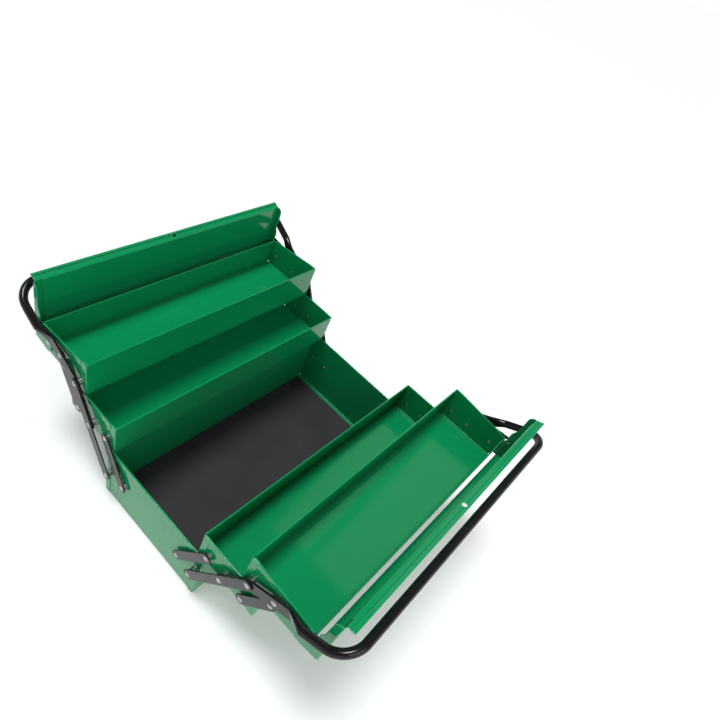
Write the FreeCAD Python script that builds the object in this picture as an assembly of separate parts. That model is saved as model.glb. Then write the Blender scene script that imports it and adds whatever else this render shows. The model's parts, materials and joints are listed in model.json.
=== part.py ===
# Cantilever tool box of folded steel sheet: a deep base, two pairs of trays, two lids and two handles.
# Frame: X along the box, front at -Y, Z up, origin under the middle of the base.
# Lengths are in mm and angles in degrees.
# One side is drawn closed, with q the distance out from the middle plane, then carried to its open place.
# The other side is the same set of pieces turned half round about Z.

import math
import os

import FreeCAD
import Part

Vector = FreeCAD.Vector

# Body sheet metal
body_length = 470.0
body_width = 220.0
sheet = 1.0
base_height = 118.0
lower_tray_height = 57.6
upper_tray_height = 50.1
upper_tray_rise = 12.5
stack_gap = 0.4
tray_middle_gap = 1.0
tray_front_setback = 0.5
floor_bend_radius = 1.5
hem_bend_radius = 0.15
wall_hem_depth = 8.0
wall_hem_end_gap = 1.5
end_hem_depth = 9.0
end_hem_side_gap = 1.0
tab_width = 10.0
tab_foot = 3.0
tab_bend_radius = 1.0
plate_side_gap = 0.05
end_flange_length = 8.0
mat_thickness = 2.0
mat_side_gap = 0.6
mat_corner_radius = 4.0

# Folding linkage: where its pivots sit on the base and on the trays
long_pivot_setback = 12.0
pivot_spacing = 32.0
base_pivot_drop = 54.0
lower_pivot_lift = 19.8
upper_pivot_lift = 17.5
upper_pivot_inset = 14.3
tray_link_spacing = 35.0
link_width = 16.0
link_thickness = 2.0

# Layers at each end, outward from the end plates
lid_flange_gap = 0.3
link_layer_gap = 1.0
handle_layer_gap = 0.3

# Handle tube with flattened ends: its flat, flare and corner are shares of its leg
handle_bar_q = 7.2
handle_bar_height = 346.5
tube_radius = 6.0
flat_width = 18.0
flat_thickness = 3.0
flat_share = 0.44
flare_share = 0.146
handle_corner_share = 0.213

# Lid sheet and its pivot on the upper tray
lid_pivot_setback = 14.5
lid_pivot_drop = 27.7
lid_opening_angle = 80.5
lid_rest_gap = 1.7
lid_overhang = 1.5
lid_skirt = 13.0
lid_border = 14.0
lid_step = 1.2
lid_step_run = 2.5
lid_step_radius = 1.0
ridge_q = 10.0
ridge_height = 11.5
ridge_foot_radius = 2.0
ridge_hem_depth = 4.0
ridge_end_setback = 1.5
padlock_hole_radius = 3.7
padlock_hole_drop = 6.3
ear_radius = 9.4
ear_half_width = 10.0
ear_neck_reach = 17.0
ear_neck_radius = 5.0
flange_depth = 14.5
flange_inner_depth = 9.5
flange_inner_gap = 1.5
flange_inner_radius = 9.0
flange_knee_share = 0.435
flange_knee_run = 11.0
flange_knee_radius = 14.0

# Lid link from the handle to the lid: its pin on the handle sits at a share of the leg
lid_link_handle_share = 0.28
lid_link_lid_reach = 31.0
lid_link_lid_angle = 44.0
lid_link_width = 15.0
lid_slot_play = 0.1
slot_steps = 16

# Rivets and pins
shank_radius = 2.4
journal_radius = 3.0
shoulder_radius = 5.0
head_radius = 4.1
head_height = 1.3
inner_head_radius = 3.6
inner_head_height = 1.4
slot_head_radius = 5.4
thin_head_height = 0.6
shank_clearance = 0.02
running_clearance = 0.06
seat_clearance = 0.05

# Levels and spans that follow
half_sheet = sheet / 2
hem_spacing = sheet + 2 * hem_bend_radius
end_face = body_length / 2
plate_middle = end_face - half_sheet - hem_spacing
plate_outer = plate_middle + half_sheet
plate_inner = plate_middle - half_sheet
trough_end = plate_outer + sheet
lower_bottom = base_height + stack_gap
lower_rim = lower_bottom + lower_tray_height
upper_bottom = lower_rim + stack_gap
upper_rim = upper_bottom + upper_tray_height
upper_inner_rim = upper_rim + upper_tray_rise
tray_inner_q = tray_middle_gap
tray_outer_q = body_width / 2 - tray_front_setback
lid_slope_share = upper_tray_rise / (tray_outer_q - tray_inner_q)
lid_tilt = math.degrees(math.atan(lid_slope_share))
lid_face_q = tray_outer_q + lid_overhang
lid_skirt_q = lid_face_q - half_sheet
lid_level = upper_rim + lid_rest_gap + lid_step + half_sheet
lid_half_rise = half_sheet / math.cos(math.radians(lid_tilt))
lid_flange_inner = end_face + lid_flange_gap
lid_flange_outer = lid_flange_inner + sheet
link_inner = lid_flange_outer + link_layer_gap
link_outer = link_inner + link_thickness
handle_inner = link_outer + handle_layer_gap
handle_outer = handle_inner + flat_thickness
long_link_outer = handle_outer + link_thickness
tube_centre = handle_outer + tube_radius
joint_tolerance = sheet / 1000000


def turned_by(angle):
    """Unit direction at an angle from straight outward, as (q, z)."""
    return math.cos(math.radians(angle)), math.sin(math.radians(angle))


def offset(start, direction, length):
    """The (q, z) point that lies a length away from another in a direction."""
    return start[0] + direction[0] * length, start[1] + direction[1] * length


def space(x, place):
    """Point in the frame for a station along the box and a (q, z) place on the front side."""
    return Vector(x, -place[0], place[1])


# Pivots when closed, as (q, z): the long link runs from the base through the lower tray to the upper one
base_pivot_height = base_height - base_pivot_drop
long_base = (body_width / 2 - long_pivot_setback, base_pivot_height)
short_base = (long_base[0] - pivot_spacing, base_pivot_height)
long_upper = (tray_inner_q + upper_pivot_inset, upper_bottom + upper_pivot_lift)
link_run = long_upper[0] - long_base[0]
link_rise = long_upper[1] - long_base[1]
lower_pivot_share = (lower_bottom + lower_pivot_lift - base_pivot_height) / link_rise
long_link_length = math.hypot(link_run, link_rise)
short_link_length = long_link_length * lower_pivot_share
closed_link_angle = math.degrees(math.atan2(link_rise, link_run))
open_link_angle = 180 - closed_link_angle
swing = closed_link_angle - open_link_angle
closed_way = turned_by(closed_link_angle)
short_lower = offset(short_base, closed_way, short_link_length)
long_lower = offset(long_base, closed_way, short_link_length)
tray_lower = (long_lower[0] + tray_link_spacing, long_lower[1])
tray_upper = (long_upper[0] + tray_link_spacing, long_upper[1])
lid_pivot = (tray_outer_q - lid_pivot_setback, upper_rim - lid_pivot_drop)
lower_shift = -2 * closed_way[0] * short_link_length
upper_shift = -2 * closed_way[0] * long_link_length

# Handle leg when closed and open
leg_rise = handle_bar_height - long_upper[1]
leg_length = math.hypot(handle_bar_q - long_upper[0], leg_rise)
flat_length = leg_length * flat_share
flare_length = leg_length * flare_share
handle_corner_radius = leg_length * handle_corner_share
lid_link_handle_reach = leg_length * lid_link_handle_share
closed_leg_angle = math.degrees(math.atan2(leg_rise, handle_bar_q - long_upper[0]))
open_leg_angle = closed_leg_angle - swing
leg_way = turned_by(closed_leg_angle)
leg_across = turned_by(closed_leg_angle + 90)


def lid_link_pins(fold_share):
    """Pins of the lid link on the handle and on the lid, when a share of the fold is done."""
    angle = swing * fold_share
    upper = offset(long_base, turned_by(open_link_angle + angle), long_link_length)
    on_handle = offset(upper, turned_by(open_leg_angle + angle), lid_link_handle_reach)
    pivot = (lid_pivot[0] + upper[0] - long_upper[0], lid_pivot[1] + upper[1] - long_upper[1])
    lid_angle = lid_link_lid_angle + lid_opening_angle * fold_share
    return on_handle, offset(pivot, turned_by(lid_angle), lid_link_lid_reach)


def bearing(pins):
    """Angle of the line from the first pin to the second."""
    return math.degrees(math.atan2(pins[1][1] - pins[0][1], pins[1][0] - pins[0][0]))


# Slot of the lid link: as long and as wide as the lid's pin wanders in it over the fold
pins_by_step = [lid_link_pins(step / slot_steps) for step in range(slot_steps + 1)]
open_handle_pin, open_lid_pin = pins_by_step[0]
handle_pin, lid_pin = pins_by_step[-1]
open_bearing = bearing(pins_by_step[0])
bearing_turn = bearing(pins_by_step[-1]) - open_bearing
reaches = []
strays = []
for step, pins in enumerate(pins_by_step):
    pin_way = turned_by(open_bearing + bearing_turn * step / slot_steps)
    pin_run = (pins[1][0] - pins[0][0], pins[1][1] - pins[0][1])
    reaches.append(pin_run[0] * pin_way[0] + pin_run[1] * pin_way[1])
    strays.append(abs(pin_run[1] * pin_way[0] - pin_run[0] * pin_way[1]))
lid_slot_in = reaches[0] - min(reaches) + lid_slot_play
lid_slot_out = max(reaches) - reaches[0] + lid_slot_play
lid_slot_side_play = max(strays) + lid_slot_play


def outline(corners, radii, to_space):
    """Closed wire through the corners, each rounded by its radius, mapped into the frame."""
    edges = []
    starts = []
    ends = []
    arcs = []
    count = len(corners)
    for index in range(count):
        here = Vector(corners[index][0], corners[index][1], 0)
        before = Vector(corners[index - 1][0], corners[index - 1][1], 0)
        after = Vector(corners[(index + 1) % count][0], corners[(index + 1) % count][1], 0)
        back = (before - here).normalize()
        ahead = (after - here).normalize()
        radius = radii[index]
        if radius == 0:
            starts.append(here)
            ends.append(here)
            arcs.append(None)
            continue
        half_angle = back.getAngle(ahead) / 2
        middle_way = (back + ahead).normalize()
        starts.append(here + back * (radius / math.tan(half_angle)))
        ends.append(here + ahead * (radius / math.tan(half_angle)))
        arcs.append(here + middle_way * (radius / math.sin(half_angle) - radius))
    for index in range(count):
        first = starts[index]
        last = ends[index]
        if arcs[index] is not None:
            points = [to_space(first), to_space(arcs[index]), to_space(last)]
            edges.append(Part.Arc(points[0], points[1], points[2]).toShape())
        target = starts[(index + 1) % count]
        if (target - last).Length > joint_tolerance:
            edges.append(Part.makeLine(to_space(last), to_space(target)))
    return Part.Wire(edges)


def fold(path, bends, to_space, sweep):
    """Solid sheet whose middle line is the path, bent at its inner corners to the given inside radii."""
    points = [Vector(place[0], place[1], 0) for place in path]
    ways = [(points[i + 1] - points[i]).normalize() for i in range(len(points) - 1)]
    normals = [Vector(-way.y, way.x, 0) for way in ways]
    left = [points[0] + normals[0] * half_sheet]
    right = [points[0] - normals[0] * half_sheet]
    left_radii = [0]
    right_radii = [0]
    for index in range(1, len(points) - 1):
        before = normals[index - 1]
        after = normals[index]
        mitre = (before + after) * (half_sheet / (1 + before.dot(after)))
        turns_left = before.x * after.y - before.y * after.x > 0
        inside = bends[index - 1]
        left.append(points[index] + mitre)
        right.append(points[index] - mitre)
        left_radii.append(inside if turns_left else inside + sheet)
        right_radii.append(inside + sheet if turns_left else inside)
    left.append(points[-1] + normals[-1] * half_sheet)
    right.append(points[-1] - normals[-1] * half_sheet)
    left_radii.append(0)
    right_radii.append(0)
    corners = [(p.x, p.y) for p in left + right[::-1]]
    wire = outline(corners, left_radii + right_radii[::-1], to_space)
    return Part.Face(wire).extrude(sweep)


def across_box(x):
    """Mapping that draws (q, z) sections at a station along the box."""
    return lambda p: Vector(x, -p.x, p.y)


def along_box(q):
    """Mapping that draws (x, z) sections at a distance from the middle plane."""
    return lambda p: Vector(p.x, -q, p.y)


def on_plan(z):
    """Mapping that draws (x, q) plans at a level."""
    return lambda p: Vector(p.x, -p.y, z)


def prism(corners, radii, x_from, x_to):
    """Rounded (q, z) outline taken straight along the box."""
    wire = outline(corners, radii, across_box(x_from))
    return Part.Face(wire).extrude(Vector(x_to - x_from, 0, 0))


def block(x_from, x_to, q_from, q_to, z_from, z_to):
    """Plain cutter between three pairs of limits."""
    size = (abs(x_to - x_from), abs(q_to - q_from), abs(z_to - z_from))
    corner = Vector(min(x_from, x_to), -max(q_from, q_to), min(z_from, z_to))
    return Part.makeBox(size[0], size[1], size[2], corner)


def bore(place, radius, x_from, x_to):
    """Cylinder along the box through a (q, z) place."""
    return Part.makeCylinder(radius, abs(x_to - x_from), space(min(x_from, x_to), place), Vector(1, 0, 0))


def fused(shapes):
    """One clean solid from several that meet."""
    return shapes[0].multiFuse(shapes[1:]).removeSplitter()


def mirrored(shape):
    """The same piece for the other end of the box."""
    return shape.mirror(Vector(0, 0, 0), Vector(1, 0, 0))


def trough(q_in, q_out, bottom, rim_in, rim_out, pivots):
    """Floor and two walls of one sheet, rims hemmed inward, corners carried round the ends as tabs."""
    wall_in = q_in + half_sheet
    wall_out = q_out - half_sheet
    floor = bottom + half_sheet
    hem_in = wall_in + hem_spacing
    hem_out = wall_out - hem_spacing
    top_in = rim_in - half_sheet
    top_out = rim_out - half_sheet
    path = [(hem_in, rim_in - wall_hem_depth), (hem_in, top_in), (wall_in, top_in), (wall_in, floor)]
    path += [(wall_out, floor), (wall_out, top_out), (hem_out, top_out), (hem_out, rim_out - wall_hem_depth)]
    bends = [hem_bend_radius] * 2 + [floor_bend_radius] * 2 + [hem_bend_radius] * 2
    body = fold(path, bends, across_box(-plate_inner), Vector(2 * plate_inner, 0, 0))
    hem_end = plate_inner - wall_hem_end_gap
    slope_share = (rim_in - rim_out) / (q_out - q_in)
    foot = bottom + tab_foot
    tab_x = trough_end - half_sheet
    cuts = []
    tabs = []
    for wall, inward, rim in ((wall_in, 1, rim_in), (wall_out, -1, rim_out)):
        near = wall + inward * half_sheet
        far = near + inward * hem_spacing
        for end in (-1, 1):
            hem_foot = rim - wall_hem_depth - sheet
            cuts.append(block(end * hem_end, end * end_face, near, far, hem_foot, rim + sheet))
        tab_top = rim - half_sheet - max(0, inward * slope_share * tab_width)
        corner_path = [(plate_inner - tab_width, wall), (tab_x, wall), (tab_x, wall + inward * tab_width)]
        tabs.append(fold(corner_path, [tab_bend_radius], on_plan(foot), Vector(0, 0, tab_top - foot)))
    pieces = [body.cut(cuts)]
    for tab in tabs:
        pieces.append(tab)
        pieces.append(mirrored(tab))
    passages = [bore(pivot, shoulder_radius + running_clearance, plate_inner, end_face) for pivot in pivots]
    return fused(pieces).cut(passages + [mirrored(passage) for passage in passages])


def end_plate(q_in, q_out, bottom, rim_in, rim_out, pivots):
    """End wall with a foot flange on the floor and a rim hemmed outward between the corner tabs."""
    floor = bottom + sheet + half_sheet
    edge_in = q_in + sheet + floor_bend_radius + plate_side_gap
    edge_out = q_out - sheet - floor_bend_radius - plate_side_gap
    hem_in = q_in + tab_width + half_sheet + end_hem_side_gap
    hem_out = q_out - tab_width - half_sheet - end_hem_side_gap
    slope_share = (rim_in - rim_out) / (q_out - q_in)
    tilt = math.degrees(math.atan(slope_share))
    crown = [rim_out + (q_out - q) * slope_share - half_sheet for q in (edge_in, edge_out, hem_out)]
    foot_top = floor + end_flange_length
    foot_path = [(plate_middle - end_flange_length, floor), (plate_middle, floor), (plate_middle, foot_top)]
    foot = fold(foot_path, [floor_bend_radius], along_box(edge_in), Vector(0, edge_in - edge_out, 0))
    wall_foot = floor + end_flange_length / 2
    corners = [(edge_in, wall_foot), (edge_out, wall_foot), (edge_out, crown[1]), (edge_in, crown[0])]
    wall = prism(corners, [0] * 4, plate_inner, plate_outer)
    hem_x = plate_middle + hem_spacing
    hem_foot = crown[2] + half_sheet - end_hem_depth
    hem_path = [(plate_middle, hem_foot), (plate_middle, crown[2]), (hem_x, crown[2]), (hem_x, hem_foot)]
    hem_length = (hem_out - hem_in) / math.cos(math.radians(tilt))
    rim = fold(hem_path, [hem_bend_radius] * 2, along_box(hem_out - hem_length), Vector(0, -hem_length, 0))
    plate = fused([foot, wall, turn(rim, (hem_out, crown[2]), tilt)])
    holes = [bore(pivot, shank_radius + shank_clearance, plate_inner - sheet, end_face) for pivot in pivots]
    return plate.cut(holes)


def link(places, width, x_from, x_to):
    """Flat bar with round ends from the first place to the last, bored to turn on a rivet at each."""
    first = places[0]
    last = places[-1]
    run = Vector(last[0] - first[0], last[1] - first[1], 0).normalize()
    side = (-run.y, run.x)
    radius = width / 2
    start = offset(first, (run.x, run.y), -radius)
    end = offset(last, (run.x, run.y), radius)
    corners = [offset(start, side, radius), offset(start, side, -radius)]
    corners += [offset(end, side, -radius), offset(end, side, radius)]
    bar = prism(corners, [radius] * 4, x_from, x_to)
    hole_radius = journal_radius + running_clearance
    holes = [bore(place, hole_radius, x_from - sheet, x_to + sheet) for place in places]
    return bar.cut(holes)


def dome(seat, radius, height):
    """Rim, middle and crown of a round rivet head's outline; a negative height faces into the box."""
    sphere = (radius * radius + height * height) / (2 * height)
    half_angle = math.asin(radius / sphere) / 2
    crown = seat + height
    between = Vector(crown - sphere + sphere * math.cos(half_angle), sphere * math.sin(half_angle), 0)
    return [Vector(seat, radius, 0), between, Vector(crown, 0, 0)]


def turned(steps, place, head, foot=None):
    """Rivet turned from steps of (x, radius) from its inner end, domed at its head and maybe at its foot."""
    rim, between, crown = dome(head[0], head[1], head[2])
    start = Vector(steps[0][0], 0, 0)
    points = [Vector(x, radius, 0) for x, radius in steps] + [rim]
    edges = []
    if foot is None:
        points.insert(0, start)
    else:
        foot_rim, foot_between, start = dome(foot[0], foot[1], -foot[2])
        points.insert(0, foot_rim)
        edges.append(Part.Arc(start, foot_between, foot_rim).toShape())
    edges += [Part.makeLine(points[i], points[i + 1]) for i in range(len(points) - 1)]
    edges.append(Part.Arc(rim, between, crown).toShape())
    edges.append(Part.makeLine(crown, start))
    face = Part.Face(Part.Wire(edges))
    rivet = face.revolve(Vector(0, 0, 0), Vector(1, 0, 0), 360)
    rivet.translate(space(0, place))
    return rivet


def shoulder_rivet(place, journal_from, journal_to):
    """Rivet fixed in an end plate, with a shoulder out to the link that turns on it."""
    shoulder_end = journal_from - seat_clearance
    seat = journal_to + seat_clearance
    steps = [(plate_inner, shank_radius), (plate_outer, shank_radius), (plate_outer, shoulder_radius)]
    steps += [(shoulder_end, shoulder_radius), (shoulder_end, journal_radius), (seat, journal_radius)]
    foot = (plate_inner, inner_head_radius, inner_head_height)
    return turned(steps, place, (seat, head_radius, head_height), foot)


def lid_rivet():
    """Pivot rivet of the lid: a thin head that the lid link passes over."""
    shoulder_end = lid_flange_inner - seat_clearance
    seat = lid_flange_outer + seat_clearance
    steps = [(plate_inner, shank_radius), (plate_outer, shank_radius), (plate_outer, shoulder_radius)]
    steps += [(shoulder_end, shoulder_radius), (shoulder_end, journal_radius), (seat, journal_radius)]
    foot = (plate_inner, inner_head_radius, inner_head_height)
    return turned(steps, lid_pivot, (seat, head_radius, thin_head_height), foot)


def handle_pin_rivet():
    """Pin in the flat of the handle, with a thin inner head that keeps the lid link on."""
    foot_seat = link_inner - seat_clearance
    steps = [(foot_seat, journal_radius), (handle_inner, journal_radius)]
    steps += [(handle_inner, shank_radius), (handle_outer, shank_radius)]
    foot = (foot_seat, head_radius, thin_head_height)
    return turned(steps, handle_pin, (handle_outer, head_radius, head_height), foot)


def lid_pin_rivet():
    """Pin in the lid's end flange, with a broad head over the slot of the lid link."""
    shoulder_end = link_inner - seat_clearance
    seat = link_outer + seat_clearance
    steps = [(lid_flange_inner, shank_radius), (lid_flange_outer, shank_radius)]
    steps += [(lid_flange_outer, shoulder_radius), (shoulder_end, shoulder_radius)]
    steps += [(shoulder_end, journal_radius), (seat, journal_radius)]
    return turned(steps, lid_pin, (seat, slot_head_radius, head_height))


def leg_point(x, along, across):
    """Point on the handle's plane: along the leg from the upper pivot, across it, and along the box."""
    place = offset(offset(long_upper, leg_way, along), leg_across, across)
    return space(x, place)


def handle_end():
    """Flattened end of the tube: dog-legged behind the long link, then flared out to the round tube."""
    half_width = flat_width / 2
    leg_end = offset(long_upper, leg_way, flat_length)
    corners = [offset(offset(long_upper, leg_way, -half_width), leg_across, half_width)]
    corners += [offset(offset(long_upper, leg_way, -half_width), leg_across, -half_width)]
    corners += [offset(leg_end, leg_across, -half_width), offset(leg_end, leg_across, half_width)]
    leg = prism(corners, [half_width, half_width, 0, 0], handle_inner, handle_outer)
    foot = link([long_lower, long_upper], link_width, handle_inner, handle_outer)
    flat = [(handle_outer, half_width), (handle_inner, half_width)]
    flat += [(handle_inner, -half_width), (handle_outer, -half_width)]
    ring = [leg_point(x, flat_length, v) for x, v in flat]
    flat_wire = Part.Wire([Part.makeLine(ring[i], ring[(i + 1) % 4]) for i in range(4)])
    arcs = []
    flare_end = flat_length + flare_length
    for quarter in range(4):
        rim = []
        for step in (0, 1, 2):
            angle = math.radians(45 + 90 * quarter + 45 * step)
            reach = tube_radius * math.cos(angle)
            rim.append(leg_point(tube_centre + reach, flare_end, tube_radius * math.sin(angle)))
        arcs.append(Part.Arc(rim[0], rim[1], rim[2]).toShape())
    flare = Part.makeLoft([flat_wire, Part.Wire(arcs)], True)
    pivots = (long_lower, long_upper)
    holes = [bore(place, journal_radius + running_clearance, link_outer, tube_centre) for place in pivots]
    holes.append(bore(handle_pin, shank_radius + shank_clearance, link_outer, tube_centre))
    return fused([leg, foot, flare]).cut(holes)


def handle():
    """One tube bent to a U between its two flattened ends."""
    start = flat_length + flare_length
    shoulder = leg_length - handle_corner_radius
    inset = tube_centre - handle_corner_radius
    way = leg_point(0, 1, 0) - leg_point(0, 0, 0)
    leg = Part.makeCylinder(tube_radius, shoulder - start, leg_point(tube_centre, start, 0), way)
    disc = Part.Face(Part.Wire(Part.makeCircle(tube_radius, leg_point(tube_centre, shoulder, 0), way)))
    corner = disc.revolve(leg_point(inset, shoulder, 0), Vector(1, 0, 0).cross(way), 90)
    bar = Part.makeCylinder(tube_radius, 2 * inset, leg_point(-inset, leg_length, 0), Vector(1, 0, 0))
    right = fused([handle_end(), leg, corner])
    return fused([bar, right, mirrored(right)])


def on_lid(q, drop):
    """Place on the lid's sloping middle line at a distance out, or straight below it by a drop."""
    return q, lid_level + (lid_skirt_q - q) * lid_slope_share - drop


def lid_section(recess, x_from, x_to):
    """Cross-section of the lid from its skirt over the sloping panel to the hemmed ridge."""
    ridge = ridge_q - half_sheet
    crest = on_lid(ridge, 0)[1] + ridge_height - half_sheet
    path = [(lid_skirt_q, lid_level + half_sheet - lid_skirt), (lid_skirt_q, lid_level)]
    bends = [floor_bend_radius]
    if recess > 0:
        path += [on_lid(lid_skirt_q - lid_border, 0), on_lid(lid_skirt_q - lid_border - lid_step_run, recess)]
        bends += [lid_step_radius] * 2
    lip = ridge - hem_spacing
    path += [on_lid(ridge, recess), (ridge, crest), (lip, crest), (lip, crest - ridge_hem_depth)]
    bends += [ridge_foot_radius, hem_bend_radius, hem_bend_radius]
    return fold(path, bends, across_box(x_from), Vector(x_to - x_from, 0, 0))


def lid_flange():
    """End of the lid turned down over the tray's end: a strip that deepens to an ear at the pivot."""
    flange_x = lid_flange_inner + half_sheet
    start = end_face - ridge_end_setback - sheet
    inner_q = ridge_q + flange_inner_gap
    knee_q = ridge_q + (lid_pivot[0] - ridge_q) * flange_knee_share
    low = lid_pivot[1] - ear_radius
    strip = [(start, lid_level), (flange_x, lid_level), (flange_x, low - lid_border)]
    span = lid_face_q - inner_q + 2 * lid_border
    sheet_strip = fold(strip, [floor_bend_radius], along_box(inner_q - lid_border), Vector(0, -span, 0))
    turn(sheet_strip, (lid_skirt_q, lid_level), lid_tilt)
    corners = [on_lid(inner_q, -lid_half_rise), on_lid(inner_q, flange_inner_depth)]
    corners += [on_lid(knee_q, flange_inner_depth), on_lid(knee_q + flange_knee_run, flange_depth)]
    corners += [on_lid(lid_pivot[0] - ear_neck_reach, flange_depth), (lid_pivot[0] - ear_half_width, low)]
    corners += [(lid_face_q, low), on_lid(lid_face_q, -lid_half_rise)]
    radii = [0, flange_inner_radius, flange_knee_radius, flange_knee_radius, ear_neck_radius]
    radii += [ear_radius, ear_radius, floor_bend_radius + sheet]
    return sheet_strip.common(prism(corners, radii, start, lid_flange_outer))


def lid_end():
    """Border beyond the recessed panel, with the ridge's end, the flange and the skirt's end."""
    recess_end = end_face - lid_border
    ridge_end = end_face - ridge_end_setback
    flat = lid_section(0, recess_end, ridge_end)
    step_q = lid_skirt_q - lid_border - lid_step_run
    corners = [on_lid(ridge_q, lid_step + lid_half_rise), on_lid(step_q, lid_step + lid_half_rise)]
    corners += [on_lid(step_q, 0), on_lid(ridge_q, 0)]
    riser = prism(corners, [0] * 4, recess_end, recess_end + sheet)
    path = [(lid_skirt_q, lid_level + half_sheet - lid_skirt), (lid_skirt_q, lid_level)]
    path.append(on_lid(lid_skirt_q - lid_border, 0))
    start = ridge_end - sheet
    corner = fold(path, [floor_bend_radius], across_box(start), Vector(lid_flange_inner - start, 0, 0))
    return fused([flat, riser, lid_flange(), corner])


def lid():
    """Whole lid: recessed panel, both ends, pivot and pin holes, padlock hole in the ridge."""
    recess_end = end_face - lid_border
    middle = lid_section(lid_step, -recess_end, recess_end)
    end = lid_end()
    whole = fused([middle, end, mirrored(end)])
    reach = lid_flange_outer + sheet
    cuts = [bore(lid_pivot, journal_radius + running_clearance, -reach, reach)]
    cuts.append(bore(lid_pin, shank_radius + shank_clearance, -reach, reach))
    hole_level = on_lid(ridge_q - half_sheet, 0)[1] + ridge_height - padlock_hole_drop
    hole_at = (ridge_q + sheet, hole_level)
    cuts.append(Part.makeCylinder(padlock_hole_radius, ridge_q, space(0, hole_at), Vector(0, 1, 0)))
    return whole.cut(cuts)


def lid_link():
    """Flat bar in its open place, bored at the handle and slotted at the lid."""
    bar = link([open_handle_pin, open_lid_pin], lid_link_width, link_inner, link_outer)
    run = Vector(open_lid_pin[0] - open_handle_pin[0], open_lid_pin[1] - open_handle_pin[1], 0).normalize()
    way = (run.x, run.y)
    side = (-run.y, run.x)
    half = journal_radius + lid_slot_side_play
    near = offset(open_lid_pin, way, -lid_slot_in - half)
    far = offset(open_lid_pin, way, lid_slot_out + half)
    corners = [offset(near, side, half), offset(near, side, -half)]
    corners += [offset(far, side, -half), offset(far, side, half)]
    slot = prism(corners, [half] * 4, link_inner - sheet, link_outer + sheet)
    return bar.cut(slot)


def turn(shape, place, angle):
    """Carry a closed piece outward about a pivot towards its open place."""
    shape.rotate(space(0, place), Vector(1, 0, 0), angle)
    return shape


def shift(shape, distance):
    """Carry a piece straight outward."""
    shape.translate(Vector(0, -distance, 0))
    return shape


def both_ends(shape):
    """A piece of the right end together with its mirrored twin, by end name."""
    return {"right": shape, "left": mirrored(shape)}


def group(shapes):
    """Identical fasteners kept as separate solids in one piece."""
    return Part.makeCompound(shapes + [mirrored(shape) for shape in shapes])


def side_pieces():
    """Every piece of the front side in its open rest place, by name."""
    pieces = {}
    lower_pivots = [short_lower, long_lower, tray_lower]
    tray = trough(tray_inner_q, tray_outer_q, lower_bottom, lower_rim, lower_rim, lower_pivots)
    pieces["lower_tray"] = shift(tray, lower_shift)
    plate = end_plate(tray_inner_q, tray_outer_q, lower_bottom, lower_rim, lower_rim, lower_pivots)
    for end, shape in both_ends(shift(plate, lower_shift)).items():
        pieces["lower_end_" + end] = shape
    rivets = [shoulder_rivet(place, link_inner, link_outer) for place in (short_lower, tray_lower)]
    rivets.append(shoulder_rivet(long_lower, handle_inner, long_link_outer))
    pieces["lower_rivets"] = shift(group(rivets), lower_shift)

    upper_pivots = [long_upper, tray_upper, lid_pivot]
    tray = trough(tray_inner_q, tray_outer_q, upper_bottom, upper_inner_rim, upper_rim, upper_pivots)
    pieces["upper_tray"] = shift(tray, upper_shift)
    plate = end_plate(tray_inner_q, tray_outer_q, upper_bottom, upper_inner_rim, upper_rim, upper_pivots)
    for end, shape in both_ends(shift(plate, upper_shift)).items():
        pieces["upper_end_" + end] = shape
    rivets = [shoulder_rivet(long_upper, handle_inner, long_link_outer)]
    rivets += [shoulder_rivet(tray_upper, link_inner, link_outer), lid_rivet()]
    pieces["upper_rivets"] = shift(group(rivets), upper_shift)

    long_bar = link([long_base, long_lower, long_upper], link_width, handle_outer, long_link_outer)
    for end, shape in both_ends(turn(long_bar, long_base, swing)).items():
        pieces["long_link_" + end] = shape
    short_bar = link([short_base, short_lower], link_width, link_inner, link_outer)
    for end, shape in both_ends(turn(short_bar, short_base, swing)).items():
        pieces["short_link_" + end] = shape
    tray_bar = link([tray_lower, tray_upper], link_width, link_inner, link_outer)
    for end, shape in both_ends(shift(turn(tray_bar, tray_lower, swing), lower_shift)).items():
        pieces["tray_link_" + end] = shape
    for end, shape in both_ends(lid_link()).items():
        pieces["lid_link_" + end] = shape

    pieces["handle"] = turn(handle(), long_base, swing)
    pieces["handle_pins"] = turn(group([handle_pin_rivet()]), long_base, swing)
    pieces["lid"] = shift(turn(lid(), lid_pivot, lid_opening_angle), upper_shift)
    pieces["lid_pins"] = shift(turn(group([lid_pin_rivet()]), lid_pivot, lid_opening_angle), upper_shift)
    return pieces


def base_pieces():
    """Every piece of the base, by name."""
    pieces = {}
    half = body_width / 2
    pivots = [short_base, long_base]
    opposite = [(-place[0], place[1]) for place in pivots]
    pieces["base_trough"] = trough(-half, half, 0, base_height, base_height, pivots + opposite)
    plate = end_plate(-half, half, 0, base_height, base_height, pivots + opposite)
    for end, shape in both_ends(plate).items():
        pieces["base_end_" + end] = shape
    rivets = [shoulder_rivet(place, link_inner, link_outer) for place in (short_base, opposite[0])]
    rivets += [shoulder_rivet(place, handle_outer, long_link_outer) for place in (long_base, opposite[1])]
    pieces["base_rivets"] = group(rivets)
    mat_x = plate_middle - end_flange_length - mat_side_gap
    mat_q = half - sheet - floor_bend_radius - mat_side_gap
    corners = [(-mat_x, -mat_q), (mat_x, -mat_q), (mat_x, mat_q), (-mat_x, mat_q)]
    wire = outline(corners, [mat_corner_radius] * 4, on_plan(sheet))
    pieces["floor_mat"] = Part.Face(wire).extrude(Vector(0, 0, mat_thickness))
    return pieces


def half_turned(shape):
    """The same piece on the back of the box."""
    copy = shape.copy()
    copy.rotate(Vector(0, 0, 0), Vector(0, 0, 1), 180)
    return copy


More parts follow.
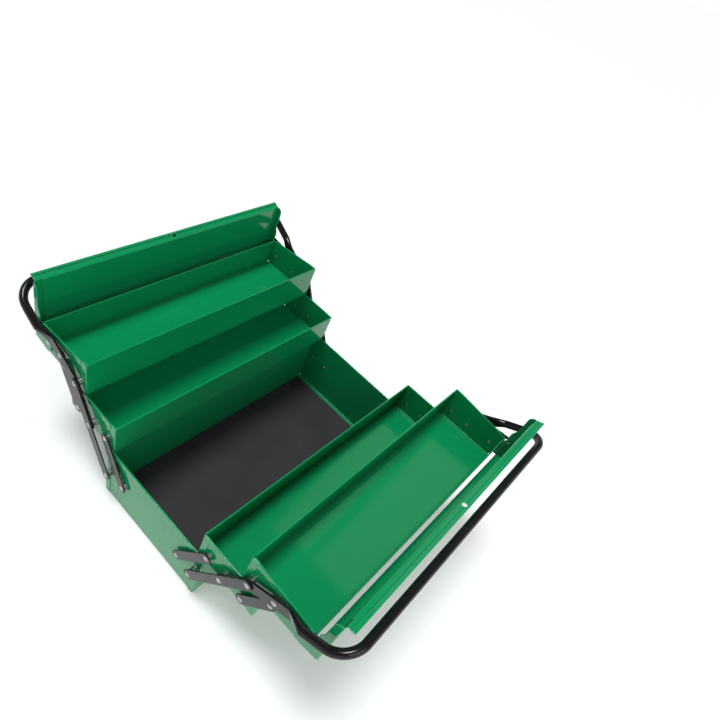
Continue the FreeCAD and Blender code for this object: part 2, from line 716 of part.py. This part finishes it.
os.makedirs("parts", exist_ok=True)
nodes = base_pieces()
opposite_end = {"left": "right", "right": "left"}
for name, shape in side_pieces().items():
    nodes["front_" + name] = shape
    stem, _, last_word = name.rpartition("_")
    back_name = stem + "_" + opposite_end[last_word] if last_word in opposite_end else name
    nodes["back_" + back_name] = half_turned(shape)
for name, shape in nodes.items():
    shape.exportStep("parts/" + name + ".step")
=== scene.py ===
# %% [markdown]
# A tool box of folded steel sheet, shown open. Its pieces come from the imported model, already in their
# places, so this lesson is about looks: finishes, two small plates, light and camera.
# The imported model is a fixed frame: nothing in it is moved, and each plate rides on its lid.

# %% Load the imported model
import json
import math

import bmesh
import bpy
from mathutils import Matrix, Vector


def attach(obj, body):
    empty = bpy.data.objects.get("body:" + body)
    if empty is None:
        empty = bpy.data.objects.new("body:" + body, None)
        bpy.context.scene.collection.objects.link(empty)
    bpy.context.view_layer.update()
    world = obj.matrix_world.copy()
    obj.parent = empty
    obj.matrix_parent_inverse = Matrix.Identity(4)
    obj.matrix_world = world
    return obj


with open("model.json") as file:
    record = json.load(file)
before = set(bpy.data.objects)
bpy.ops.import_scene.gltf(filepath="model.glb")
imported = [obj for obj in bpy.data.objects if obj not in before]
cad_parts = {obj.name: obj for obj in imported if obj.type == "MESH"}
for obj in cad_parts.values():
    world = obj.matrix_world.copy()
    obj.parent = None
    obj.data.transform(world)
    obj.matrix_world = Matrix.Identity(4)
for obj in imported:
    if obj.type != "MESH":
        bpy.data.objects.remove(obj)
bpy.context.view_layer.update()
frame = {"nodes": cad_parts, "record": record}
nodes = frame["nodes"]

# %% [markdown]
# A finish is a small tree of shader nodes. Wiring each node by hand hides the idea in bookkeeping, so one
# class wraps a socket: sums and products of wrapped sockets add the Math nodes, and one method adds any
# other node from its type, its settings and what goes into it.


# %% A socket that reads like a number
class Tone:
    """One output socket of a finish; plain maths on it adds Math nodes."""

    def __init__(self, tree, socket=None):
        self.tree = tree
        self.socket = socket

    def node(self, kind, settings, inputs, output=0):
        """Add a node: its settings first, then values or links for its sockets."""
        made = self.tree.nodes.new(kind)
        for name, value in settings.items():
            setattr(made, name, value)
        for name, value in inputs.items():
            if isinstance(value, Tone):
                self.tree.links.new(value.socket, made.inputs[name])
            else:
                made.inputs[name].default_value = value
        return Tone(self.tree, made.outputs[output])

    def sum(self, operation, first, second):
        """Add one Math node."""
        return self.node("ShaderNodeMath", {"operation": operation}, {0: first, 1: second})

    def __add__(self, other):
        return self.sum("ADD", self, other)

    def __sub__(self, other):
        return self.sum("SUBTRACT", self, other)

    def __rsub__(self, other):
        return self.sum("SUBTRACT", other, self)

    def __mul__(self, other):
        return self.sum("MULTIPLY", self, other)

    __radd__ = __add__
    __rmul__ = __mul__

    def range(self, low, high, to_low, to_high):
        """The value stretched from one range to another and held at its ends."""
        places = {"Value": self, 1: low, 2: high, 3: to_low, 4: to_high}
        return self.node("ShaderNodeMapRange", {"clamp": True}, places)


print("finish tools ready")

# %% [markdown]
# Most finishes here start the same way: a Principled shader that reads the piece's own Object coordinates,
# in metres. Helpers give a noise at a chosen grain, a colour mixed from two, and two masks. One is 1 along
# sharp edges: it compares the true normal with one rounded by the Bevel node, so it needs no extra geometry
# and works on the thin folded edges of the model. The other is 1 in inner corners, where the piece closes off
# part of the view from its own surface.


# %% Start a finish, and masks that finishes share
def new_finish(name):
    """A material with one Principled shader; gives the material, its tree and the shader."""
    material = bpy.data.materials.new(name)
    material.use_nodes = True
    tree = material.node_tree
    shader = tree.nodes["Principled BSDF"]
    return material, Tone(tree), shader


def place_on(tone):
    """Object coordinates of the piece."""
    return tone.node("ShaderNodeTexCoord", {}, {}, "Object")


def grain(tone, place, scale, detail):
    """Noise with features of about one metre divided by the scale."""
    inputs = {"Vector": place, "Scale": scale, "Detail": detail}
    return tone.node("ShaderNodeTexNoise", {}, inputs, "Fac")


def blend(tone, amount, first, second):
    """One colour passing into another."""
    settings = {"data_type": "RGBA", "clamp_factor": True}
    return tone.node("ShaderNodeMix", settings, {0: amount, 6: first, 7: second}, 2)


def edge_mask(tone, width):
    """1 along sharp edges and 0 on flats, fading over a width in metres."""
    round_normal = tone.node("ShaderNodeBevel", {"samples": 6}, {"Radius": width})
    true_normal = tone.node("ShaderNodeNewGeometry", {}, {}, "True Normal")
    settings = {"operation": "DOT_PRODUCT"}
    likeness = tone.node("ShaderNodeVectorMath", settings, {0: round_normal, 1: true_normal}, "Value")
    return likeness.range(low=0.97, high=0.75, to_low=0.0, to_high=1.0)


def crease_mask(tone, reach):
    """1 in inner corners and 0 on flats and outer edges, fading over a reach in metres."""
    settings = {"samples": 8, "only_local": True}
    clear = tone.node("ShaderNodeAmbientOcclusion", settings, {"Distance": reach}, "AO")
    return clear.range(low=0.95, high=0.75, to_low=0.0, to_high=1.0)


def raised(tone, height, depth, normal=None):
    """A bump whose full height is a depth in metres."""
    inputs = {"Height": height, "Distance": depth, "Strength": 1.0}
    if normal is not None:
        inputs["Normal"] = normal
    return tone.node("ShaderNodeBump", {}, inputs)


def feed(tone, shader, **links):
    """Join what changes over the surface to the shader, and set what is the same all over."""
    for name, value in links.items():
        socket = shader.inputs[name.replace("_", " ")]
        if isinstance(value, Tone):
            tone.tree.links.new(value.socket, socket)
        else:
            socket.default_value = value


print("shared masks ready")

# %% [markdown]
# Green enamel covers all the folded sheet. On such boxes it is sprayed and baked: a smooth deep gloss with a
# trace of orange peel. A paler green is painted along sharp edges as a highlight, and a darker green is
# painted along the folds as shade. The peel is a very shallow bump, and the roughness wanders a little so
# that reflections are not ruler-straight. In the folds the gloss is lowered too, because a highlight on so
# tight a bend breaks up into dots.

# %% Green enamel
DEEP_GREEN = (0.003, 0.255, 0.086, 1.0)
FRESH_GREEN = (0.004, 0.290, 0.098, 1.0)
# A darker green, painted into the folds as shade.
PAINTED_SHADE_GREEN = (0.002, 0.100, 0.036, 1.0)
# A paler green, painted along sharp edges as a highlight.
PAINTED_HIGHLIGHT_GREEN = (0.05, 0.68, 0.31, 1.0)


def green_enamel():
    material, tone, shader = new_finish("green_enamel")
    place = place_on(tone)
    drift = grain(tone, place, scale=9.0, detail=3.0)
    crease = crease_mask(tone, reach=0.004)
    edge = edge_mask(tone, width=0.0012) * (1.0 - crease)
    body = blend(tone, drift, DEEP_GREEN, FRESH_GREEN)
    # Painted shade: the inner-corner mask darkens the folds towards the darker green.
    painted_fold_shade = blend(tone, crease * 0.5, body, PAINTED_SHADE_GREEN)
    # Painted highlight: sharp edges are lightened towards the paler green.
    colour = blend(tone, edge * 0.9, painted_fold_shade, PAINTED_HIGHLIGHT_GREEN)
    peel = grain(tone, place, scale=420.0, detail=1.0)
    flow = grain(tone, place, scale=55.0, detail=2.0)
    rounded = tone.node("ShaderNodeBevel", {"samples": 16}, {"Radius": 0.0008})
    normal = raised(tone, peel * 0.5 + flow, depth=0.000025, normal=rounded)
    gloss = drift.range(low=0.3, high=0.7, to_low=0.045, to_high=0.08)
    rough = gloss + edge * 0.12 + crease * 0.45
    feed(tone, shader, Base_Color=colour, Roughness=rough, Normal=normal, Specular_IOR_Level=0.36)
    return material


green = green_enamel()
print("made", green.name)

# %% [markdown]
# Black enamel covers the links and the tube handles. It is a little less glossy than the green, with bare
# steel just starting to show on the corners and fine scuffs all over, as on links that slide past each other.

# %% Black enamel
DEEP_BLACK = (0.005, 0.005, 0.006, 1.0)
SOFT_BLACK = (0.012, 0.0115, 0.012, 1.0)
BARE_STEEL = (0.10, 0.098, 0.095, 1.0)


def black_enamel():
    material, tone, shader = new_finish("black_enamel")
    place = place_on(tone)
    drift = grain(tone, place, scale=30.0, detail=3.0)
    scratches = grain(tone, place, scale=700.0, detail=4.0)
    scuff = scratches.range(low=0.55, high=0.8, to_low=0.0, to_high=1.0)
    edge = edge_mask(tone, width=0.0007)
    worn = edge * drift.range(low=0.45, high=0.7, to_low=0.0, to_high=0.8)
    body = blend(tone, drift, DEEP_BLACK, SOFT_BLACK)
    colour = blend(tone, worn, body, BARE_STEEL)
    peel = grain(tone, place, scale=380.0, detail=1.0)
    rounded = tone.node("ShaderNodeBevel", {"samples": 6}, {"Radius": 0.0006})
    normal = raised(tone, peel, depth=0.00003, normal=rounded)
    gloss = drift.range(low=0.3, high=0.7, to_low=0.14, to_high=0.22)
    rough = gloss + scuff * 0.12
    feed(tone, shader, Base_Color=colour, Roughness=rough, Normal=normal, Specular_IOR_Level=0.3)
    return material


black = black_enamel()
print("made", black.name)

# %% [markdown]
# Every joint turns on a zinc-plated rivet. Its bright head is metal, so its look is all reflection: fine
# marks break the highlight, and a darker film lies over it in patches.

# %% Zinc rivet
BRIGHT_ZINC = (0.52, 0.52, 0.53, 1.0)
DULL_ZINC = (0.26, 0.255, 0.25, 1.0)


def zinc_plate():
    material, tone, shader = new_finish("zinc_plate")
    place = place_on(tone)
    film = grain(tone, place, scale=220.0, detail=3.0)
    marks = grain(tone, place, scale=1500.0, detail=2.0)
    patches = film.range(low=0.35, high=0.75, to_low=0.0, to_high=1.0)
    colour = blend(tone, patches, BRIGHT_ZINC, DULL_ZINC)
    rough = film.range(low=0.3, high=0.7, to_low=0.24, to_high=0.4)
    normal = raised(tone, marks, depth=0.00002)
    feed(tone, shader, Base_Color=colour, Roughness=rough, Normal=normal, Metallic=1.0)
    return material


zinc = zinc_plate()
print("made", zinc.name)

# %% [markdown]
# The loose mat on the floor of the base is matt dark rubber. It needs the opposite of the enamel: no gloss,
# a fine pebble grain, and a little grey dust in patches.

# %% Rubber mat
DARK_RUBBER = (0.024, 0.023, 0.026, 1.0)
DUSTY_RUBBER = (0.036, 0.035, 0.039, 1.0)


def rubber_mat():
    material, tone, shader = new_finish("rubber_mat")
    place = place_on(tone)
    settings = {"feature": "F1"}
    inputs = {"Vector": place, "Scale": 650.0}
    pebbles = tone.node("ShaderNodeTexVoronoi", settings, inputs, "Distance")
    dust = grain(tone, place, scale=14.0, detail=4.0)
    patches = dust.range(low=0.35, high=0.75, to_low=0.0, to_high=1.0)
    colour = blend(tone, patches, DARK_RUBBER, DUSTY_RUBBER)
    rough = dust.range(low=0.3, high=0.7, to_low=0.66, to_high=0.8)
    normal = raised(tone, 1.0 - pebbles, depth=0.00018)
    feed(tone, shader, Base_Color=colour, Roughness=rough, Normal=normal, Specular_IOR_Level=0.35)
    return material


rubber = rubber_mat()
print("made", rubber.name)

# %% [markdown]
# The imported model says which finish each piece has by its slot. Each slot takes the finish made for it.

# %% Give each piece its finish
finishes = {"green_sheet": green, "black_steel": black, "rivet_steel": zinc, "mat": rubber}
for piece in frame["record"]["subparts"]:
    mesh = nodes[piece["node"]].data
    mesh.materials.clear()
    mesh.materials.append(finishes[piece["material_slot"]])
slots = [piece["material_slot"] for piece in frame["record"]["subparts"]]
print({name: slots.count(name) for name in finishes})

# %% [markdown]
# Each lid carries one small bare plate on its panel, towards the right-hand end as seen from that side. The
# plane it lies on is read from the lid: of all flats that look outward, the panel is the largest.

# %% Find the panel of a lid
ROUGHLY_OUTWARD = 0.7


def lid_panel(lid, outward):
    """Axes of the lid's outer panel, and its lower corner at the right-hand end."""
    flats = {}
    for face in nodes[lid].data.polygons:
        if face.normal.dot(outward) > ROUGHLY_OUTWARD:
            level = round(face.normal.dot(face.center), 4)
            flats.setdefault((level, round(face.normal.z, 2)), []).append(face)
    panel = max(flats.values(), key=lambda faces: sum(face.area for face in faces))
    out = panel[0].normal.copy()
    right = Vector((0.0, 0.0, 1.0)).cross(outward)
    up = out.cross(right)
    corners = [nodes[lid].data.vertices[i].co for face in panel for i in face.vertices]
    level = out.dot(corners[0])
    ends = max(right.dot(corner) for corner in corners)
    foot = min(up.dot(corner) for corner in corners)
    return right, up, out, right * ends + up * foot + out * level


fronts = {"front_lid": Vector((0.0, -1.0, 0.0)), "back_lid": Vector((0.0, 1.0, 0.0))}
panels = {lid: lid_panel(lid, outward) for lid, outward in fronts.items()}
print("panel corners", {lid: [round(v, 4) for v in panel[3]] for lid, panel in panels.items()})

# %% [markdown]
# The plate's finish is a dark lacquer, stoved on thin metal. It has a satin gloss with a fine even grain, and
# the metal shows faintly where the rim has been rubbed.

# %% Dark lacquer
DARK_LACQUER = (0.014, 0.010, 0.013, 1.0)
SOFT_LACQUER = (0.024, 0.017, 0.022, 1.0)
RUBBED_METAL = (0.20, 0.19, 0.19, 1.0)


def dark_lacquer():
    material, tone, shader = new_finish("dark_lacquer")
    place = place_on(tone)
    cloud = grain(tone, place, scale=60.0, detail=3.0)
    spread = cloud.range(low=0.4, high=0.65, to_low=0.1, to_high=0.7)
    rub = edge_mask(tone, width=0.0005) * spread
    body = blend(tone, cloud, DARK_LACQUER, SOFT_LACQUER)
    colour = blend(tone, rub, body, RUBBED_METAL)
    rough = cloud.range(low=0.3, high=0.7, to_low=0.24, to_high=0.34)
    fine = grain(tone, place, scale=900.0, detail=2.0)
    normal = raised(tone, fine, depth=0.00002)
    feed(tone, shader, Base_Color=colour, Roughness=rough, Normal=normal)
    return material


lacquer = dark_lacquer()
print("made", lacquer.name)

# %% [markdown]
# The plate itself is a thin stamped piece. A painted patch would look flat, so it is modelled: a block with
# rounded corners, a raised rim and a slightly sunk face, laid on the panel and riding on its lid.


# %% Bare plates on the lids
def bare_plate(lid, size, end_margin, foot_margin, corner, rim, sunk):
    """Thin plate with a raised rim, lying on the panel of a lid."""
    right, up, out, panel_corner = panels[lid]
    shape = bmesh.new()
    bmesh.ops.create_cube(shape, size=1.0)
    bmesh.ops.scale(shape, vec=size, verts=shape.verts)
    uprights = [e for e in shape.edges if abs(e.verts[0].co.z - e.verts[1].co.z) > size[2] / 2]
    settings = {"affect": "EDGES", "segments": 5, "profile": 0.5, "material": -1}
    bmesh.ops.bevel(shape, geom=uprights, offset=corner, **settings)
    face = max(shape.faces, key=lambda f: f.calc_center_median().z)
    bmesh.ops.inset_region(shape, faces=[face], thickness=rim)
    bmesh.ops.translate(shape, vec=(0.0, 0.0, -sunk), verts=face.verts)
    bmesh.ops.recalc_face_normals(shape, faces=shape.faces)
    inward = right * (end_margin + size[0] / 2)
    upward = up * (foot_margin + size[1] / 2)
    middle = panel_corner - inward + upward + out * (size[2] / 2)
    turn = Matrix((right, up, out)).transposed().to_4x4()
    bmesh.ops.transform(shape, matrix=Matrix.Translation(middle) @ turn, verts=shape.verts)
    mesh = bpy.data.meshes.new(lid + "_plate")
    shape.to_mesh(mesh)
    shape.free()
    mesh.materials.append(lacquer)
    plate = bpy.data.objects.new(lid + "_plate", mesh)
    bpy.context.scene.collection.objects.link(plate)
    soft_edges = plate.modifiers.new("soft_edges", "BEVEL")
    soft_edges.width = rim / 4
    soft_edges.segments = 2
    soft_edges.limit_method = "ANGLE"
    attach(plate, lid)
    return plate


for lid in panels:
    plate = bare_plate(lid, size=(0.076, 0.013, 0.0013), end_margin=0.011, foot_margin=0.008,
                       corner=0.0016, rim=0.0012, sunk=0.0003)
    print("made", plate.name, [round(v, 4) for v in plate.dimensions])

# %% [markdown]
# The floor is plain and pale. It is wide enough to fill the picture and keeps the soft shadow. For the camera
# and for reflections a share of it glows, so that it reads as white paper and its shadow stays light.

# %% Floor
PAPER = (0.96, 0.96, 0.96, 1.0)
WHITE = (1.0, 1.0, 1.0, 1.0)


def pale_floor(glow_share):
    """White paper of which a share glows for the camera and in reflections."""
    material, tone, shader = new_finish("pale_floor")
    feed(tone, shader, Base_Color=PAPER, Roughness=0.9, Specular_IOR_Level=0.1)
    seen = tone.node("ShaderNodeLightPath", {}, {}, "Is Camera Ray")
    mirrored = tone.node("ShaderNodeLightPath", {}, {}, "Is Glossy Ray")
    glow = tone.node("ShaderNodeEmission", {}, {"Color": WHITE, "Strength": 1.0})
    lit = Tone(tone.tree, shader.outputs["BSDF"])
    share = (seen + mirrored) * glow_share
    both = tone.node("ShaderNodeMixShader", {}, {0: share, 1: lit, 2: glow})
    tone.tree.links.new(both.socket, tone.tree.nodes["Material Output"].inputs["Surface"])
    return material


def lay_floor(depth, half_width):
    """One wide flat sheet just under the feet of the box."""
    shape = bmesh.new()
    under = Matrix.Translation((0.0, 0.0, -depth))
    bmesh.ops.create_grid(shape, x_segments=1, y_segments=1, size=half_width, matrix=under)
    mesh = bpy.data.meshes.new("studio_floor")
    shape.to_mesh(mesh)
    shape.free()
    mesh.materials.append(pale_floor(glow_share=0.12))
    floor = bpy.data.objects.new("studio_floor", mesh)
    bpy.context.scene.collection.objects.link(floor)
    return floor


floor = lay_floor(depth=0.0005, half_width=12.0)
print("floor", [round(v, 1) for v in floor.dimensions])

# %% [markdown]
# Studio light: a broad key light from nearly overhead, whose shadow falls a little forward, a wide soft panel
# in front that reaches into the stepped trays, two strips at the far end whose reflections lie on the tray
# floors, and an even surround. In reflections the surround is a white sweep near the floor that darkens
# overhead, so the gloss has something to show. The levels add up to a little more than one on the floor, so
# that it comes out white.


# %% Light
def aimed(name, lamp, place, aim):
    """Put a lamp at a place, facing a point."""
    holder = bpy.data.objects.new(name, lamp)
    holder.location = place
    holder.rotation_euler = (Vector(aim) - Vector(place)).to_track_quat("-Z", "Y").to_euler()
    bpy.context.scene.collection.objects.link(holder)
    return holder


def key_light(place, level, softness):
    """Light from one side with soft shadow edges; a level of 1 lights white paper to white."""
    lamp = bpy.data.lights.new("key_light", "SUN")
    lamp.energy = level * math.pi
    lamp.angle = math.radians(softness)
    return aimed("key_light", lamp, place, (0.0, 0.0, 0.0))


def soft_panel(name, place, aim, size, glow):
    """Rectangular panel of a given brightness, which shows in the gloss."""
    lamp = bpy.data.lights.new(name, "AREA")
    lamp.shape = "RECTANGLE"
    lamp.size, lamp.size_y = size
    lamp.energy = glow * math.pi * size[0] * size[1]
    return aimed(name, lamp, place, aim)


def surround(level, overhead):
    """Even light all round; in the gloss, white near the floor and dim overhead."""
    world = bpy.data.worlds.new("studio")
    bpy.context.scene.world = world
    world.use_nodes = True
    tone = Tone(world.node_tree)
    seen = tone.node("ShaderNodeLightPath", {}, {}, "Is Camera Ray")
    mirrored = tone.node("ShaderNodeLightPath", {}, {}, "Is Glossy Ray")
    through = tone.node("ShaderNodeLightPath", {}, {}, "Is Transmission Ray")
    way = tone.node("ShaderNodeTexCoord", {}, {}, "Generated")
    height = tone.node("ShaderNodeSeparateXYZ", {}, {0: way}, "Z")
    sweep = height.range(low=0.1, high=0.6, to_low=1.0, to_high=overhead)
    shown = seen + through + mirrored * sweep
    hidden = 1.0 - seen - through - mirrored
    strength = shown + hidden * level
    ground = world.node_tree.nodes["Background"]
    world.node_tree.links.new(strength.socket, ground.inputs["Strength"])
    ground.inputs["Color"].default_value = WHITE


surround(level=0.36, overhead=0.05)
key_light(place=(-0.28, 0.42, 2.2), level=0.70, softness=20.0)
soft_panel("front_panel", place=(-0.7, -1.9, 1.7), aim=(0.0, 0.1, 0.15), size=(1.8, 1.4), glow=2.3)
soft_panel("near_end_panel", place=(1.63, -0.145, 2.26), aim=(0.0, -0.16, 0.15), size=(0.30, 1.04), glow=0.60)
soft_panel("far_end_panel", place=(1.63, 0.21, 2.26), aim=(0.0, 0.2, 0.15), size=(0.26, 1.04), glow=0.60)

# %% [markdown]
# The camera stands where the photograph was taken: above the left end, looking down the box, tilted, with a
# wide lens. Its place and turn were found by fitting the sizes of the model to their corners in the picture.

# %% Camera
PICTURE_WIDTH = 720.0
SENSOR_WIDTH = 36.0


def set_camera(place, azimuth, elevation, roll, focal, centre):
    """Camera from its place, the side it looks from in degrees, and its focal length and centre in pixels."""
    a, e, r = (math.radians(v) for v in (azimuth, elevation, roll))
    back = Vector((math.sin(a) * math.cos(e), -math.cos(a) * math.cos(e), math.sin(e)))
    right = Vector((math.cos(a), math.sin(a), 0.0))
    up = back.cross(right)
    tilted = right * math.cos(r) + up * math.sin(r)
    upright = up * math.cos(r) - right * math.sin(r)
    lens = bpy.data.cameras.new("photo_camera")
    lens.sensor_fit = "HORIZONTAL"
    lens.sensor_width = SENSOR_WIDTH
    lens.lens = focal / PICTURE_WIDTH * SENSOR_WIDTH
    lens.shift_x = (PICTURE_WIDTH / 2 - centre[0]) / PICTURE_WIDTH
    lens.shift_y = (centre[1] - PICTURE_WIDTH / 2) / PICTURE_WIDTH
    camera = bpy.data.objects.new("photo_camera", lens)
    turn = Matrix((tilted, upright, back)).transposed()
    camera.matrix_world = Matrix.Translation(place) @ turn.to_4x4()
    bpy.context.scene.collection.objects.link(camera)
    bpy.context.scene.camera = camera
    return camera


camera = set_camera(place=(-0.5104, -0.2649, 0.8181), azimuth=-62.87, elevation=47.56, roll=23.68,
                    focal=550.1, centre=(285.0, 400.0))
print("camera", [round(v, 3) for v in camera.location], "lens", round(camera.data.lens, 1))

# %% [markdown]
# Last, the picture settings. The visible model has to stay inside the box of the imported one.

# %% Finish
bpy.context.scene.view_settings.view_transform = "Standard"
